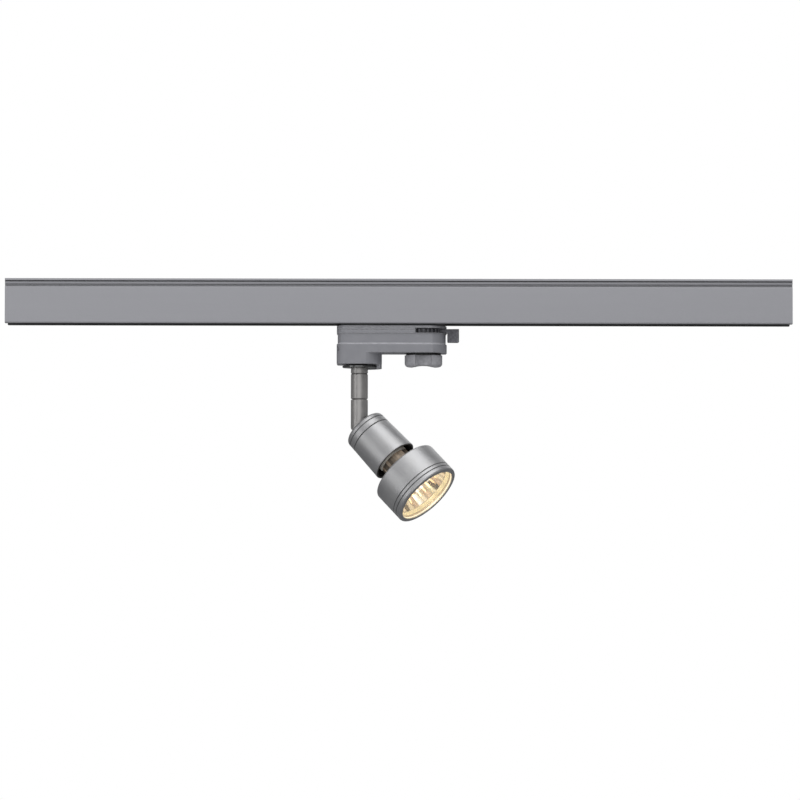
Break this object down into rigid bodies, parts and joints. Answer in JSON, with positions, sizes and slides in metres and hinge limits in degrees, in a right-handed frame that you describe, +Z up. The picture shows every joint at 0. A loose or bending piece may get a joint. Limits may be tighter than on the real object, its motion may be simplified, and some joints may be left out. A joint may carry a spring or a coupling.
{
  "type": "track spotlight",
  "caption": "Ceiling lighting track with a sliding adapter, a turning stem and a tilting cylindrical lamp head with a wide front ring.",
  "frame": {"origin": "centre of the track's ceiling face", "axes": "+Z up, out of the ceiling face; +X along the track; the front faces -Y"},
  "size_m": [0.6, 0.072, 0.1849],
  "materials": {
    "track_metal": "satin grey powder coat on extruded aluminium",
    "strip_plastic": "black moulded plastic",
    "copper": "bare copper strip",
    "housing_plastic": "fine-grained grey moulded plastic",
    "lever_plastic": "dark grey moulded plastic",
    "carrier_plastic": "black moulded plastic",
    "steel": "zinc-plated steel",
    "spring_metal": "sprung bronze strip",
    "washer_rubber": "black rubber",
    "stem_metal": "satin silver lacquer",
    "disc_metal": "dark grey lacquer",
    "head_metal": "satin silver lacquer on spun aluminium",
    "sleeve_metal": "black lacquer",
    "holder_ceramic": "unglazed steatite",
    "lead_sleeve": "silicone-insulated wire",
    "bowl_mirror": "dichroic faceted reflector on pressed glass",
    "lamp_ceramic": "white ceramic",
    "pin_metal": "nickel-plated brass",
    "lens_glass": "clear pressed glass",
    "filament_metal": "coiled tungsten wire"
  },
  "bodies": {
    "track": {"track_profile": "track_metal", "track_insulator_front": "strip_plastic", "track_insulator_rear": "strip_plastic", "track_lip_front": "strip_plastic", "track_lip_rear": "strip_plastic", "track_conductors": "copper", "track_earth_strip": "copper"},
    "adapter": {"adapter_upper_housing": "housing_plastic", "adapter_lower_housing": "housing_plastic", "adapter_screws": "steel", "cable_clamp_screw": "steel", "contact_carrier": "carrier_plastic", "neutral_contact": "spring_metal", "earth_contact": "spring_metal", "end_catch": "steel", "terminal_block": "carrier_plastic", "detent_spring": "spring_metal", "stem_nipple": "steel", "nipple_nut": "steel", "seat_washer": "washer_rubber", "collar_disc": "disc_metal", "stem_collar": "stem_metal", "stem_upper_tube": "stem_metal", "swivel_pin": "steel", "swivel_nut": "steel", "swivel_stop_pin": "steel"},
    "lever": {"lock_lever": "lever_plastic", "claw_sleeve": "lever_plastic", "locking_claw": "steel"},
    "selector": {"selector_knob": "housing_plastic", "toothed_ring": "washer_rubber", "selector_shaft": "lever_plastic", "selector_rotor": "lever_plastic", "phase_contacts": "spring_metal", "detent_disc": "lever_plastic"},
    "stem": {"stem_lower_tube": "stem_metal", "tilt_bolt": "steel", "friction_washers": "washer_rubber"},
    "head": {"rear_cap": "head_metal", "tilt_tongue": "stem_metal", "tongue_screws": "steel", "rear_housing": "head_metal", "inner_sleeve": "sleeve_metal", "lampholder_body": "holder_ceramic", "lampholder_contacts": "spring_metal", "lampholder_bracket": "steel", "bracket_screws": "steel", "lampholder_leads": "lead_sleeve"},
    "lamp": {"lamp_reflector": "bowl_mirror", "lamp_base": "lamp_ceramic", "lamp_pins": "pin_metal", "lamp_front_glass": "lens_glass", "lamp_capsule": "lens_glass", "lamp_filament": "filament_metal"},
    "ring": {"front_ring": "head_metal", "ring_clips": "sleeve_metal"}
  },
  "joints": [
    {"name": "track_slide", "type": "slide", "parent": "track", "child": "adapter", "axis": [1, 0, 0], "range_m": [-0.25, 0.25]},
    {"name": "lock_lever_turn", "type": "hinge", "parent": "adapter", "child": "lever", "pos_m": [0.019, 0, -0.0391], "axis": [0, 0, -1], "range_deg": [0, 90]},
    {"name": "circuit_selector_turn", "type": "hinge", "parent": "adapter", "child": "selector", "pos_m": [0.019, 0, -0.0619], "axis": [0, 0, 1], "range_deg": [-90, 90]},
    {"name": "pan", "type": "hinge", "parent": "adapter", "child": "stem", "pos_m": [-0.03, 0, -0.0912], "axis": [0, 0, 1], "range_deg": [-165, 165]},
    {"name": "tilt", "type": "hinge", "parent": "stem", "child": "head", "pos_m": [-0.03, 0, -0.1092], "axis": [-0.4818, -0.8763, 0], "range_deg": [-46.6, 38.4]},
    {"name": "lamp_twist", "type": "hinge", "parent": "head", "child": "lamp", "pos_m": [-0.03, 0, -0.1092], "axis": [0.6367, -0.35, -0.6871], "range_deg": [0, 25]},
    {"name": "ring_pull", "type": "slide", "parent": "lamp", "child": "ring", "axis": [0.6367, -0.35, -0.6871], "range_m": [0, 0.03]}
  ]
}
